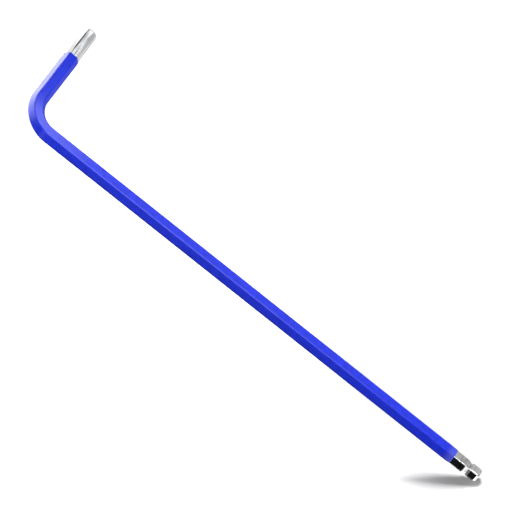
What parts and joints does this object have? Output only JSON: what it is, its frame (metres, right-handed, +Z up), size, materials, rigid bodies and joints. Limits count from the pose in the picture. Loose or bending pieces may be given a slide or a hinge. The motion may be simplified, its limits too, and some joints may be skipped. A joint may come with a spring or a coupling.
{
  "type": "ball-end hex key",
  "caption": "L-shaped hexagonal key with a ball on its long arm, a plain tip on its short arm and a coloured coat between them, for turning socket screws.",
  "frame": {"origin": "middle of the key's footprint, on the surface that it lies flat on", "axes": "+X along the long arm towards the ball, +Y along the short arm towards the plain tip, +Z up from the surface"},
  "size_m": [0.12, 0.0276, 0.0032],
  "materials": {
    "steel": "bright drawn steel with fine grinding marks along the bar",
    "coating": "semi-gloss polymer coat, slightly uneven"
  },
  "bodies": {
    "root": {"steel_key": "steel", "blue_coating": "coating"}
  },
  "joints": []
}
